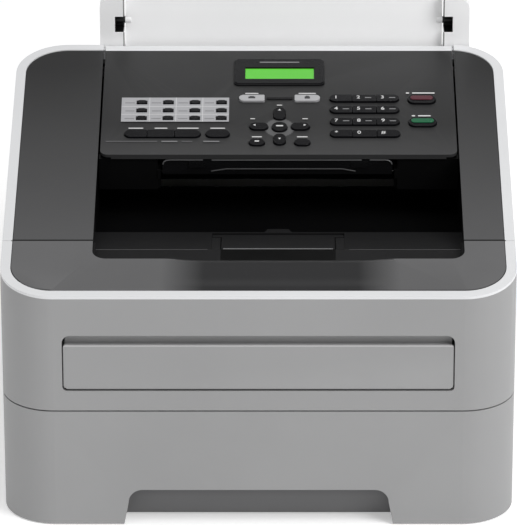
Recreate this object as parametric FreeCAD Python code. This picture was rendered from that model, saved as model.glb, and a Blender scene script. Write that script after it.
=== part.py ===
"""Desktop laser fax machine, one STEP file per piece.

Millimetres. X to the right, Y to the back, Z up. The origin lies on the floor
under the middle of the machine's bounding box. Pieces on the sloped top are
drawn in top coordinates: X, distance back along the slope, height above it.
"""
import FreeCAD
import Part
import math
import os

# Overall size
WIDTH = 368.0
DEPTH = 360.0
HEIGHT = 311.0
BODY_DEPTH = 336.0
FRONT_Y = -DEPTH / 2
HALF_WIDTH = WIDTH / 2

# Sloped top
TOP_FRONT_Z = 181.0
SLOPE = 9.5
TOP_SKIN = 2.2
TOP_DROP = 0.5

# Body shell
FRONT_CORNER = 38.0
REAR_CORNER = 39.0
WALL = 2.5
SEAM = 0.4
RIM_WIDTH = 7.3
RIM_THICKNESS = 2.0
COVER_SPLIT = 70.2
BASE_Z = 2.5

# Paper tray
TRAY_TOP_Z = 90.6
TRAY_FRONT_DEPTH = 44.6
TUB_HALF = 113.0
TUB_FRONT = 22.0
TUB_BACK = 326.0
TUB_FLOOR_Z = 5.5
TUB_TOP_Z = 58.0
GRIP_Z = 28.0
GRIP_HALF = 93.5
GRIP_FLARE = 97.0
GRIP_DEPTH = 18.0
LIFT_HINGE = 198.0
LIFT_FRONT = 40.0

# Front cover and manual feed
COVER_BOTTOM_Z = 91.6
COVER_PIVOT = (1.5, 93.5)
SLOT_HALF = 139.5
SLOT_BOTTOM_Z = 107.0
SLOT_TOP_Z = 150.4
SLOT_DEPTH = 20.0
FLAP_TOP_Z = 142.5
FLAP_PIVOT = (2.0, 109.5)

# Output recess, in the top of the machine
RECESS_LEFT = -119.3
RECESS_RIGHT = 147.8
RECESS_FRONT = 48.9
BAND_DEPTH = 25.0
FLOOR_SLOPE = 10.0
RECESS_BACK = 250.0
BRINK = 126.0
STEP_DOWN = 11.2
DEEP_Z = 152.0
SUPPORT_FLAP = (-27.0, 55.0, 75.0, 118.0)

# Control panel, in top coordinates
PANEL_X = 14.5
PANEL_LEFT = -117.3
PANEL_RIGHT = 146.0
PANEL_FRONT = 186.4
PANEL_BACK = 339.5
PANEL_HINGE = (338.0, -3.0)
KEY_GAP = 0.4
KEY_TOP = 1.0
KEY_NECK = -3.4
KEY_FOOT = -5.0
FOOT_RIM = 0.8

# Frame plates
FRAME_LEFT = -132.0
FRAME_RIGHT = 155.0
FRAME_PLATE = 2.5
FRAME_FRONT = 74.0
FRAME_BACK = 318.0
CEILING_Z = 62.0
SHELF_Z = 120.5
PICKUP_Z = 69.5
CRADLE_Z = 80.5
REAR_COVER_HALF = 105.0
REAR_COVER_BOTTOM = 64.0
REAR_COVER_TOP = 196.0
COLUMN_HALF = 144.6

# Document tray at the back
EAR_LEFT = (-121.7, -103.3)
EAR_RIGHT = (139.8, 159.6)
EAR_TOP_Z = 275.0
TRAY_BASE_Z = 205.0
TRAY_FRONT = 337.0
SUPPORT_LEFT = -102.3
SUPPORT_RIGHT = 138.8
SUPPORT_BOTTOM_Z = 230.0
SUPPORT_PIVOT = (348.2, 253.0)
SUPPORT_LEAN = 10.0
SUPPORT_THICKNESS = 3.0
POCKET_WIDTH = 7.3
POCKET_Z = (247.0, 259.6)

PIECES = {}


def piece(node, shape):
    """Keep a finished shape under its node name."""
    PIECES[node] = shape


def back(distance):
    """Y of a point this far behind the front face."""
    return FRONT_Y + distance


def box(x, y, z):
    """Box from three (low, high) pairs."""
    corner = FreeCAD.Vector(x[0], y[0], z[0])
    return Part.makeBox(x[1] - x[0], y[1] - y[0], z[1] - z[0], corner)


def deep_box(x, depth, z):
    """Box whose middle pair is a distance behind the front face."""
    return box(x, (back(depth[0]), back(depth[1])), z)


def rod(x, y, z, radius):
    """Cylinder along X between two X values."""
    base = FreeCAD.Vector(x[0], y, z)
    return Part.makeCylinder(radius, x[1] - x[0], base, FreeCAD.Vector(1, 0, 0))


def outline(x, y, radii):
    """Rounded rectangle; radii go front left, front right, rear right, rear left."""
    corners = (
        (x[0], y[0], 1, 1, radii[0]),
        (x[1], y[0], -1, 1, radii[1]),
        (x[1], y[1], -1, -1, radii[2]),
        (x[0], y[1], 1, -1, radii[3]),
    )
    edges = []
    leaves = []
    enters = []
    for cx, cy, sx, sy, radius in corners:
        along = FreeCAD.Vector(cx + sx * radius, cy, 0)
        up = FreeCAD.Vector(cx, cy + sy * radius, 0)
        enter, leave = (up, along) if sx == sy else (along, up)
        enters.append(enter)
        leaves.append(leave)
        if radius > 0:
            bite = radius * (1 - math.sqrt(0.5))
            middle = FreeCAD.Vector(cx + sx * bite, cy + sy * bite, 0)
            edges.append(Part.Arc(enter, middle, leave).toShape())
    for index in range(4):
        start = leaves[index]
        end = enters[(index + 1) % 4]
        if (end - start).Length > 1e-6:
            edges.append(Part.makeLine(start, end))
    return Part.Face(Part.Wire(Part.__sortEdges__(edges)))


def slug(x, y, z, radii):
    """Upright prism on a rounded rectangle."""
    face = outline(x, y, radii)
    face.translate(FreeCAD.Vector(0, 0, z[0]))
    return face.extrude(FreeCAD.Vector(0, 0, z[1] - z[0]))


def even(radius):
    """The same radius on all four corners."""
    return (radius, radius, radius, radius)


def body_plan(inset, z):
    """Prism on the body's plan, drawn in by an inset."""
    half = HALF_WIDTH - inset
    front = FRONT_CORNER - inset
    rear = REAR_CORNER - inset
    depth = (back(inset), back(BODY_DEPTH - inset))
    return slug((-half, half), depth, z, (front, front, rear, rear))


def body_ring(outer, inner, z):
    """Wall that follows the body's plan between two insets."""
    return body_plan(outer, z).cut(body_plan(inner, z))


def on_top(shape):
    """Move a shape from top coordinates to its place on the sloped top."""
    turn = FreeCAD.Rotation(FreeCAD.Vector(1, 0, 0), SLOPE)
    frame = FreeCAD.Placement(FreeCAD.Vector(0, FRONT_Y, TOP_FRONT_Z), turn)
    moved = shape.copy()
    moved.Placement = frame.multiply(moved.Placement)
    return moved


def slab(low, high):
    """Everything between two heights above the sloped top."""
    return on_top(box((-HALF_WIDTH - 9, HALF_WIDTH + 9), (-60, DEPTH + 40), (low, high)))


def under_top(shape, height):
    """Cut away what stands above a height over the sloped top."""
    return shape.cut(slab(height, height + HEIGHT))


def fuse(shapes):
    """Join a list of touching shapes into one solid."""
    joined = shapes[0]
    for shape in shapes[1:]:
        joined = joined.fuse(shape)
    return joined.removeSplitter()


def make_base_frame():
    """Chassis: floor plate, side frames, ceiling over the tray, shelf, rear panel."""
    floor = body_plan(3.0, (BASE_Z, BASE_Z + 2.5)).cut(
        deep_box((-HALF_WIDTH, HALF_WIDTH), (-1, 48), (0, 9)))
    floor = floor.cut(deep_box((-HALF_WIDTH, HALF_WIDTH), (335, 345), (0, 9)))
    left = (FRAME_LEFT, FRAME_LEFT + FRAME_PLATE)
    right = (FRAME_RIGHT, FRAME_RIGHT + FRAME_PLATE)
    sides = [deep_box(x, (FRAME_FRONT, FRAME_BACK), (BASE_Z + 2, 240)) for x in (left, right)]
    sides = [under_top(side, -20.0) for side in sides]
    across = (FRAME_LEFT + 1, FRAME_RIGHT + 1)
    ceiling = deep_box(across, (FRAME_FRONT, 333.4), (CEILING_Z, CEILING_Z + 2.5))
    ceiling = ceiling.cut(deep_box((-30, 30), (58, 97), (CEILING_Z - 1, CEILING_Z + 4)))
    ceiling = ceiling.cut(deep_box((-140, 160), (328, 334), (CEILING_Z + 1, CEILING_Z + 4)))
    ceiling = ceiling.cut(deep_box((144, 160), (328, 334), (CEILING_Z - 1, CEILING_Z + 4)))
    shelf = deep_box(across, (140, 252), (SHELF_Z, SHELF_Z + 2.5))
    shelf = shelf.cut(deep_box((-90, 90), (180, 190), (SHELF_Z - 1, SHELF_Z + 4)))
    wall_y = (333.4, BODY_DEPTH)
    low = deep_box((-COLUMN_HALF, COLUMN_HALF), wall_y, (BASE_Z, REAR_COVER_BOTTOM - 1))
    high = deep_box((-COLUMN_HALF, COLUMN_HALF), wall_y, (REAR_COVER_TOP + 1, 213))
    left_column = deep_box((-COLUMN_HALF, -REAR_COVER_HALF - 0.6), wall_y, (BASE_Z, 213))
    right_column = deep_box((REAR_COVER_HALF + 0.6, COLUMN_HALF), wall_y, (BASE_Z, 213))
    inlet = deep_box((-140.6, -111.4), (330, 340), (73.4, 98.6))
    jacks = deep_box((111.4, 140.6), (330, 340), (74.4, 92.6))
    brackets = [deep_box((x, x + 3), (278, 292), (CEILING_Z + 2, 112)) for x in (-122, 119)]
    ears = [deep_box((x, x + 3), (FRAME_FRONT, 96), (CEILING_Z + 2, 79)) for x in (-43, 40)]
    ears = [ear.cut(rod((-60, 60), back(84.0), PICKUP_Z, 3.06)) for ear in ears]
    brackets = [bracket.cut(rod((-130, 130), back(285.0), 100.0, 4.06)) for bracket in brackets]
    pins = [rod((-COLUMN_HALF + 34, -REAR_COVER_HALF + 2.6), back(334.7), 67.0, 0.9),
            rod((REAR_COVER_HALF - 2.6, COLUMN_HALF - 34), back(334.7), 67.0, 0.9)]
    wall = fuse([low, high, left_column, right_column]).cut(inlet).cut(jacks)
    pieces = [floor, wall] + sides + [ceiling, shelf] + brackets + ears + pins
    piece("base_frame", fuse(pieces))


def make_feet():
    """Four rubber feet under the floor plate."""
    pads = []
    for x in (-150.0, 150.0):
        for depth in (66.0, 316.0):
            centre = FreeCAD.Vector(x, back(depth), 0)
            pads.append(Part.makeCylinder(9.0, BASE_Z, centre))
    piece("feet", Part.makeCompound(pads))


def make_side_covers():
    """Grey covers down both sides, round the rear corners and beside the tray."""
    upper = body_ring(0, WALL, (TRAY_TOP_Z, 260))
    lower = body_ring(0, WALL, (BASE_Z, TRAY_TOP_Z))
    upper = upper.cut(deep_box((-190, 190), (-9, COVER_SPLIT + SEAM), (0, 300)))
    lower = lower.cut(deep_box((-190, 190), (-9, TRAY_FRONT_DEPTH + SEAM), (0, 300)))
    shell = under_top(fuse([upper, lower]), -RIM_THICKNESS - SEAM)
    shell = shell.cut(deep_box((140, 154.1), (325, 340), (213.4, 260)))
    centre = COLUMN_HALF + SEAM
    for node, x in (("side_cover_left", (-190, -centre)), ("side_cover_right", (centre, 190))):
        piece(node, shell.common(deep_box(x, (-9, 350), (0, 300))))


def make_top_rim():
    """White rim round the sides and rear corners, tied across behind the panel."""
    rim = body_ring(0, RIM_WIDTH, (150, 260)).common(slab(-RIM_THICKNESS, 0))
    skirt = body_ring(3.2, 5.4, (150, 260)).common(slab(-8, -RIM_THICKNESS + 0.1))
    rim = rim.fuse(skirt)
    rim = rim.cut(deep_box((-190, 190), (-9, COVER_SPLIT + SEAM), (100, 300)))
    rim = rim.cut(deep_box((-119.0, 147.7), (300, 350), (100, 300)))
    posts = []
    plan = body_plan(0, (200, 260))
    for x in ((-COLUMN_HALF, -119.0), (147.7, 153.7)):
        post = deep_box(x, (329.0, BODY_DEPTH), (214, 260)).common(plan)
        posts.append(under_top(post, 0))
    bridge = deep_box((-125.0, 153.7), (330, BODY_DEPTH), (214, 222)).common(plan)
    rim = fuse([rim] + posts + [bridge])
    rim = rim.cut(on_top(rod((-121.6, 150.3), PANEL_HINGE[0], PANEL_HINGE[1], 1.38)))
    piece("top_rim", rim)


def make_top_cover():
    """Dark panels beside the recess and the control panel, joined at the back."""
    inset = RIM_WIDTH + SEAM
    sheet = body_plan(inset, (150, 260)).common(slab(-TOP_DROP - TOP_SKIN, -TOP_DROP))
    sheet = sheet.cut(deep_box((-190, 190), (-9, 72.0), (100, 300)))
    sheet = sheet.cut(deep_box((-118.9, 147.4), (50, 350), (100, 300)))
    skirts = [on_top(box(x, (300, 331), (-10, -1))) for x in ((-125, -122.4), (151, 153.6))]
    bar = on_top(box((-125, 153.6), (325, 331), (-10, -7)))
    piece("top_cover", fuse([sheet] + skirts + [bar]))


def make_output_tray():
    """Black sloping tray for printed pages, with its front band and side walls."""
    x = (RECESS_LEFT, RECESS_RIGHT)
    drop = math.tan(math.radians(FLOOR_SLOPE))
    edge = RECESS_FRONT + BAND_DEPTH
    band_z = TOP_FRONT_Z + 3.0
    brink_z = band_z - (BRINK - edge) * drop
    upper = [
        (RECESS_FRONT, band_z), (edge, band_z), (BRINK, brink_z),
        (BRINK + 24, brink_z - STEP_DOWN), (RECESS_BACK, DEEP_Z),
    ]
    profile = upper + [(depth, z - 2) for depth, z in reversed(upper)]
    points = [FreeCAD.Vector(x[0] - 1, back(depth), z) for depth, z in profile]
    face = Part.Face(Part.makePolygon(points + points[:1]))
    floor = face.extrude(FreeCAD.Vector(x[1] - x[0] + 2, 0, 0))
    walls = []
    for side in ((x[0] - 2.2, x[0]), (x[1], x[1] + 2.2)):
        wall = deep_box(side, (RECESS_FRONT + 23.5, 316), (150, 260))
        wall = wall.cut(deep_box(side, (RECESS_BACK, 330), (140, 172)))
        walls.append(under_top(wall, -TOP_DROP - TOP_SKIN - 0.3))
    for side in ((x[0], x[0] + 2.2), (x[1] - 2.2, x[1])):
        cheek = deep_box(side, (RECESS_FRONT, RECESS_FRONT + 24), (band_z - 2, 230))
        walls.append(under_top(cheek, -TOP_DROP - TOP_SKIN - 0.3))
    back_wall = deep_box(x, (RECESS_BACK - 2, RECESS_BACK), (150.5, 172))
    back_wall = back_wall.cut(deep_box((-105, 115), (240, 260), (157, 164)))
    left, right, front, rear = SUPPORT_FLAP
    well = deep_box((left - 8.4, right + 8.4), (front - 1, rear + 6), (150, 200))
    well_floor = well.common(on_recess_floor(-9.0, -7.0))
    rims = well.cut(deep_box((left - 7.0, right + 7.0), (front + 0.4, rear + 4.6), (140, 210)))
    rims = rims.common(on_recess_floor(-9.0, -0.5))
    floor = floor.cut(deep_box((left - 7.0, right + 7.0), (front + 0.4, rear + 4.6), (140, 210)))
    tray = fuse([floor] + walls + [back_wall, well_floor, rims])
    tray = tray.cut(flap_axle(left - 8.0, right + 8.0, 1.56))
    piece("output_tray", tray)


def on_recess_floor(low, high):
    """Everything between two heights above the recess floor."""
    edge = back(RECESS_FRONT + BAND_DEPTH)
    block = box((-200, 200), (-40, 300), (low, high))
    turn = FreeCAD.Rotation(FreeCAD.Vector(1, 0, 0), -FLOOR_SLOPE)
    block.Placement = FreeCAD.Placement(FreeCAD.Vector(0, edge, TOP_FRONT_Z + 3.0), turn)
    return block


def flap_axle(start, end, radius):
    """Cylinder on the support flap's hinge line."""
    depth = SUPPORT_FLAP[3] - 3.0
    drop = math.tan(math.radians(FLOOR_SLOPE)) * (depth - RECESS_FRONT - BAND_DEPTH)
    return rod((start, end), back(depth), TOP_FRONT_Z + 3.0 - drop - 1.8, radius)


def make_output_flap():
    """Flap that lifts at the front to stop the printed pages."""
    left, right, front, rear = SUPPORT_FLAP
    plate = deep_box((left, right), (front + 1, rear), (150, 200))
    plate = plate.common(on_recess_floor(-3.2, -0.4))
    arms = deep_box((left - 6.4, right + 6.4), (rear - 6, rear), (150, 200))
    arms = arms.common(on_recess_floor(-3.2, -0.4))
    axle = flap_axle(left - 7.8, right + 7.8, 1.5)
    piece("output_flap", fuse([plate, arms, axle]))


def make_front_cover():
    """Grey front cover with the manual feed pocket behind its face."""
    keep = deep_box((-190, 190), (-1, COVER_SPLIT), (COVER_BOTTOM_Z, 260))
    shell = under_top(body_ring(0, 3.0, (COVER_BOTTOM_Z, 260)).common(keep), -RIM_THICKNESS)
    pocket = deep_box((-SLOT_HALF - 2.2, SLOT_HALF + 2.2), (2, SLOT_DEPTH + 2.2),
                      (SLOT_BOTTOM_Z - 2.2, SLOT_TOP_Z + 2.2))
    hollow = outline((-SLOT_HALF, SLOT_HALF), (SLOT_BOTTOM_Z, SLOT_TOP_Z), (3.0, 3.0, 6.0, 6.0))
    hollow.rotate(FreeCAD.Vector(0, 0, 0), FreeCAD.Vector(1, 0, 0), 90)
    hollow = hollow.extrude(FreeCAD.Vector(0, SLOT_DEPTH + 1, 0))
    hollow.translate(FreeCAD.Vector(0, back(-1), 0))
    paper = deep_box((-112, 112), (SLOT_DEPTH - 2, SLOT_DEPTH + 4), (127, 133))
    cover = fuse([shell, pocket]).cut(hollow).cut(paper)
    depth, z = FLAP_PIVOT
    for x in ((-SLOT_HALF - 1.6, -SLOT_HALF + 3.5), (SLOT_HALF - 3.5, SLOT_HALF + 1.6)):
        cover = cover.cut(rod(x, back(depth), z, 0.88))
    depth, z = COVER_PIVOT
    for x in (-104, 96):
        notch = deep_box((x, x + 8), (0.8, 4), (COVER_BOTTOM_Z - 1, z + 2.5))
        cover = cover.cut(notch).fuse(rod((x - 0.5, x + 8.5), back(depth + 0.2), z, 1.0))
    piece("front_cover", cover)


def make_front_rim():
    """White rim along the top of the front cover."""
    keep = deep_box((-190, 190), (-1, COVER_SPLIT), (100, 260))
    rim = body_ring(0, RIM_WIDTH, (150, 260)).common(slab(-RIM_THICKNESS, 0)).common(keep)
    skirt = body_ring(3.2, 5.4, (150, 260)).common(slab(-8, -RIM_THICKNESS + 0.1))
    piece("front_rim", fuse([rim, skirt.common(keep)]))


def make_front_lip():
    """Dark lip inside the white rim, in front of the output recess."""
    inset = RIM_WIDTH + SEAM
    half = HALF_WIDTH - inset
    corner = FRONT_CORNER - inset
    plan = slug((-half, half), (back(9.4), back(120)), (150, 260), (corner, corner, 0, 0))
    lip = plan.common(slab(-TOP_DROP - TOP_SKIN, -TOP_DROP))
    lip = lip.cut(deep_box((-190, 190), (71.6, 200), (100, 300)))
    notch = slug((RECESS_LEFT + 0.3, RECESS_RIGHT - 0.3), (back(48.4), back(90)), (100, 300),
                 (10.0, 10.0, 0, 0))
    ledge = plan_ledge(half).common(slab(-TOP_DROP - TOP_SKIN - 1.6, -TOP_DROP - TOP_SKIN + 0.1))
    piece("front_lip", fuse([lip.cut(notch), ledge]))


def plan_ledge(half):
    """Strip under the lip's front edge that closes the line beside the rim."""
    return slug((-half + 30, half - 30), (back(7.9), back(14)), (150, 260), even(1.0))


def make_manual_feed_flap():
    """Flap over the manual feed slot, hinged along its bottom edge."""
    width = (-SLOT_HALF + 0.5, SLOT_HALF - 0.5)
    face = outline(width, (SLOT_BOTTOM_Z + 0.9, FLAP_TOP_Z), (5.0, 5.0, 2.0, 2.0))
    face.rotate(FreeCAD.Vector(0, 0, 0), FreeCAD.Vector(1, 0, 0), 90)
    plate = face.extrude(FreeCAD.Vector(0, 2.4, 0))
    plate.translate(FreeCAD.Vector(0, back(0.6), 0))
    depth, z = FLAP_PIVOT
    hub = rod((width[0] + 6, width[1] - 6), back(depth), z, 1.4)
    pin = rod((width[0] - 1.6, width[1] + 1.6), back(depth), z, 0.8)
    shelf = deep_box((width[0] + 1.5, width[1] - 1.5), (2.5, 8.5), (FLAP_TOP_Z - 2, FLAP_TOP_Z))
    brow = outline((width[0] + 1.5, width[1] - 1.5), (FLAP_TOP_Z - 2, SLOT_TOP_Z - 1.2), (0, 0, 5, 5))
    brow.rotate(FreeCAD.Vector(0, 0, 0), FreeCAD.Vector(1, 0, 0), 90)
    brow = brow.extrude(FreeCAD.Vector(0, 2.0, 0))
    brow.translate(FreeCAD.Vector(0, back(6.5), 0))
    piece("manual_feed_flap", fuse([plate, shelf, brow, hub, pin]))


def make_paper_tray():
    """Paper tray: front with its finger grip, and the open tub behind it."""
    front = (0, TRAY_FRONT_DEPTH)
    span = (-HALF_WIDTH - 1, HALF_WIDTH + 1)
    keep = deep_box(span, front, (0, 100))
    shell = body_ring(0, 3.0, (0.8, TRAY_TOP_Z)).common(keep)
    sole = body_plan(1.0, (0.8, 3.3)).common(keep)
    lid = body_plan(1.0, (TRAY_TOP_Z - 2.5, TRAY_TOP_Z)).common(keep)
    closure = body_plan(1.0, (0.8, TRAY_TOP_Z)).common(deep_box(span, (42, 44.6), (0, 100)))
    closure = closure.cut(deep_box((-TUB_HALF + 1, TUB_HALF - 1), (40, 46), (TUB_FLOOR_Z, TUB_TOP_Z)))
    tub = deep_box((-TUB_HALF, TUB_HALF), (TUB_FRONT, TUB_BACK), (TUB_FLOOR_Z, TUB_TOP_Z))
    room = deep_box((-TUB_HALF + 2.5, TUB_HALF - 2.5), (TUB_FRONT + 2.5, TUB_BACK - 2.5),
                    (TUB_FLOOR_Z + 2.5, TUB_TOP_Z + 5))
    tub = tub.cut(room)
    skids = [deep_box((x, x + 4), (TUB_FRONT, 44), (3, TUB_FLOOR_Z + 1)) for x in (-80, 76)]
    walls = deep_box((-GRIP_FLARE - 3, GRIP_FLARE + 3), (2.5, GRIP_DEPTH + 2.5), (0.8, GRIP_Z + 4.5))
    tray = fuse([shell, sole, lid, closure, tub, walls] + skids)
    piece("paper_tray", tray.cut(grip_hollow()))


def grip_hollow():
    """Finger grip, open to the front and underneath, flared at the floor."""
    low = [(-GRIP_FLARE, -1), (-GRIP_HALF, GRIP_Z - 10), (GRIP_HALF, GRIP_Z - 10), (GRIP_FLARE, -1)]
    points = [FreeCAD.Vector(x, back(-1), z) for x, z in low]
    mouth = Part.Face(Part.makePolygon(points + points[:1]))
    arch = outline((-GRIP_HALF, GRIP_HALF), (GRIP_Z - 12, GRIP_Z), (0, 0, 10, 10))
    arch.rotate(FreeCAD.Vector(0, 0, 0), FreeCAD.Vector(1, 0, 0), 90)
    arch.translate(FreeCAD.Vector(0, back(-1), 0))
    arch = arch.extrude(FreeCAD.Vector(0, 5, 0))
    mouth = mouth.extrude(FreeCAD.Vector(0, 5, 0))
    room = deep_box((-GRIP_FLARE, GRIP_FLARE), (3, GRIP_DEPTH), (-1, GRIP_Z + 2))
    return mouth.fuse(arch).fuse(room)


def make_tray_fittings():
    """Lift plate and the two paper guides inside the tray."""
    floor = TUB_FLOOR_Z + 2.5
    plate = deep_box((-98, 98), (LIFT_FRONT, LIFT_HINGE), (floor + 1.4, floor + 2.9))
    axle = rod((-98, 98), back(LIFT_HINGE), floor + 2.2, 1.6)
    piece("lift_plate", fuse([plate, axle]))
    for node, side in (("side_guide_left", -1), ("side_guide_right", 1)):
        wall = deep_box(sorted((side * 107.5, side * 109.5)), (206, 290), (floor + 0.4, 50))
        foot = deep_box(sorted((side * 66, side * 109.5)), guide_foot(side), (floor + 0.4, floor + 2.4))
        piece(node, fuse([wall, foot]))


def guide_foot(side):
    """Depth range of a guide's rack, clear of the other guide's."""
    return (230, 240) if side < 0 else (252, 262)


def make_rollers():
    """Pick-up roller, fuser roller and document feed roller."""
    pickup = [rod((-22, 22), back(84.0), PICKUP_Z, 9.0), rod((-45, 45), back(84.0), PICKUP_Z, 3.0)]
    piece("pickup_roller", fuse(pickup))
    fuser = [rod((-112, 112), back(285.0), 100.0, 12.5), rod((-124, 124), back(285.0), 100.0, 4.0)]
    piece("fuser_roller", fuse(fuser))
    feed = [rod((-40, 70), 262.0, -18.5, 7.0), rod((-50, 80), 262.0, -18.5, 2.5)]
    piece("document_roller", on_top(fuse(feed)))


def make_print_unit():
    """Drum unit, toner cartridge and laser unit."""
    floor = CRADLE_Z
    cradle = deep_box((-118, 118), (102, 216), (floor, 118))
    cradle = cradle.cut(deep_box((-115.5, 115.5), (100, 213), (floor + 2.5, 119)))
    cradle = cradle.cut(deep_box((-105, 105), (160, 200), (floor - 1, floor + 3)))
    drum = rod((-115.5, 115.5), back(184.0), 98.0, 12.0)
    piece("drum_unit", fuse([cradle, drum]))
    body = deep_box((-113, 113), (106, 140), (floor + 4, 112))
    barrel = rod((-113, 113), back(140.0), floor + 19.0, 15.0)
    handle = deep_box((-40, 40), (101, 108), (floor + 10, floor + 16))
    piece("toner_cartridge", fuse([body, barrel, handle]))
    scanner = deep_box((-105, 105), (142, 247), (SHELF_Z + 2.8, 146))
    hood = deep_box((-60, 60), (152, 200), (145, 148))
    piece("laser_unit", fuse([scanner, hood]))


def make_rear_cover():
    """Cover over the fuser at the back, hinged along its bottom edge."""
    half = REAR_COVER_HALF
    plate = deep_box((-half, half), (333.4, BODY_DEPTH), (REAR_COVER_BOTTOM, REAR_COVER_TOP))
    rib = deep_box((-half + 8, half - 8), (331, 334), (REAR_COVER_TOP - 16, REAR_COVER_TOP - 12))
    recess = deep_box((-25, 25), (334.6, 337), (REAR_COVER_TOP - 14, REAR_COVER_TOP + 1))
    bore = rod((-half - 1, half + 1), back(334.7), 67.0, 0.96)
    solid = fuse([plate, rib]).cut(recess)
    ends = [deep_box((side - 4, side + 4), (330, 340), (60, 70)) for side in (-half, half)]
    for end in ends:
        solid = solid.cut(bore.common(end))
    foot = deep_box((-half - 1, half + 1), (335.3, 338), (REAR_COVER_BOTTOM - 1, REAR_COVER_BOTTOM + 1.6))
    piece("rear_cover", solid.cut(foot))


def make_electronics():
    """Main board with the line jacks, and the power supply with its inlet."""
    board = deep_box((165, 166.6), (90, 326), (10, 150))
    parts = [deep_box((160, 165.1), (120, 160), (60, 100)), deep_box((156 + 4, 165.1), (200, 230), (40, 60))]
    arm = deep_box((128, 165.1), (318.5, 325), (76, 90))
    block = deep_box((112, 140), (320, BODY_DEPTH), (75, 92))
    block = block.cut(deep_box((114.5, 124.5), (327, 340), (78, 88)))
    block = block.cut(deep_box((127.5, 137.5), (327, 340), (78, 88)))
    piece("main_board", fuse([board, arm, block] + parts))
    plate = deep_box((-178, -176.4), (90, 304), (10, 130))
    coil = deep_box((-176.5, -146), (110, 150), (30, 70))
    heat = deep_box((-176.5, -150), (200, 280), (50, 90))
    link = deep_box((-176.5, -134), (294, 304), (78, 90))
    bridge = deep_box((-145, -134), (294, 330), (78, 90))
    inlet = deep_box((-140, -112), (320, BODY_DEPTH), (74, 98))
    inlet = inlet.cut(deep_box((-137, -115), (324, 340), (77, 95)))
    blades = [deep_box((x, x + 1.6), (322, 333), (82, 88)) for x in (-132, -121)]
    piece("power_supply", fuse([plate, coil, heat, link, bridge, inlet] + blades))


def make_scanner_base():
    """Black scanner base under the control panel, with the document slot."""
    left = -118.4
    right = 147.0
    block = box((left, right), (190, 318), (-32, -12))
    undercut = box((-73, 100), (180, 216), (-40, -19.5)).fuse(box((-73, 100), (180, 193), (-40, -5)))
    slot = box((-45, 75), (253, 271), (-40, 0))
    bore = rod((-50.4, 80.4), 262.0, -18.5, 2.57)
    cheeks = [box(x, (188, 194), (-32, -5)) for x in ((left, -75), (102, right))]
    glass = box((-95, 120), (230, 244), (-13.2, -11))
    hollow = box((left + 4, right - 4), (218, 248), (-40, -15))
    base = fuse([block] + cheeks).cut(undercut).cut(slot).cut(bore).cut(glass)
    base = base.cut(hollow).fuse(box((-94.8, 119.8), (230.2, 243.8), (-15.5, -12.4)))
    for side in (-74, 101):
        base = base.fuse(box((side - 1.2, side + 1.2), (187.5, 194), (-22, -14.5)))
    pins = on_doc_hinge(-74.4, 101.0, 0.9)
    piece("scanner_base", on_top(base.cut(pins)))


def on_doc_hinge(start, end, radius):
    """Cylinder on the document output flap's hinge line."""
    return rod((start, end), 189.6, -16.6, radius)


def make_document_flap():
    """Flap in front of the document exit, hinged along its bottom edge."""
    face = outline((-71.5, 98.2), (-18.0, -5.2), (1.0, 1.0, 5.0, 5.0))
    face.rotate(FreeCAD.Vector(0, 0, 0), FreeCAD.Vector(1, 0, 0), 90)
    plate = face.extrude(FreeCAD.Vector(0, 2.0, 0))
    plate.translate(FreeCAD.Vector(0, 187.0, 0))
    tabs = [box((x, x + 12), (186.4, 187.1), (-12, -7)) for x in (-52, 68)]
    hub = on_doc_hinge(-71.5, 98.2, 1.3)
    pin = on_doc_hinge(-73.6, 100.2, 0.8)
    piece("document_output_flap", on_top(fuse([plate, hub, pin] + tabs)))


def make_document_tray():
    """White document tray behind the panel, with an ear at each side."""
    left = EAR_LEFT[0]
    right = EAR_RIGHT[1]
    base = deep_box((left, right), (TRAY_FRONT, DEPTH), (TRAY_BASE_Z, 228))
    hollow = deep_box((left + 3, right - 3), (TRAY_FRONT + 3, DEPTH - 3), (TRAY_BASE_Z - 1, 225))
    ears = []
    for x, outer in ((EAR_LEFT, (0, 0, 0, 9.0)), (EAR_RIGHT, (0, 0, 9.0, 0))):
        face = outline(x, (227, EAR_TOP_Z), outer)
        face.rotate(FreeCAD.Vector(0, 0, 0), FreeCAD.Vector(1, 0, 0), 90)
        ear = face.extrude(FreeCAD.Vector(0, 20.5, 0))
        ear.translate(FreeCAD.Vector(0, back(TRAY_FRONT), 0))
        ears.append(ear)
    tray = fuse([base.cut(hollow)] + ears)
    pockets = ((EAR_LEFT[1] - POCKET_WIDTH + 0.3, EAR_LEFT[1] + 1),
               (EAR_RIGHT[0] - 1, EAR_RIGHT[0] + POCKET_WIDTH - 0.3))
    for pocket in pockets:
        tray = tray.cut(deep_box(pocket, (TRAY_FRONT - 1, TRAY_FRONT + 15), POCKET_Z))
    depth, z = SUPPORT_PIVOT
    piece("document_tray", tray.cut(rod((-113.4, 150.0), back(depth), z, 2.58)))


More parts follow.
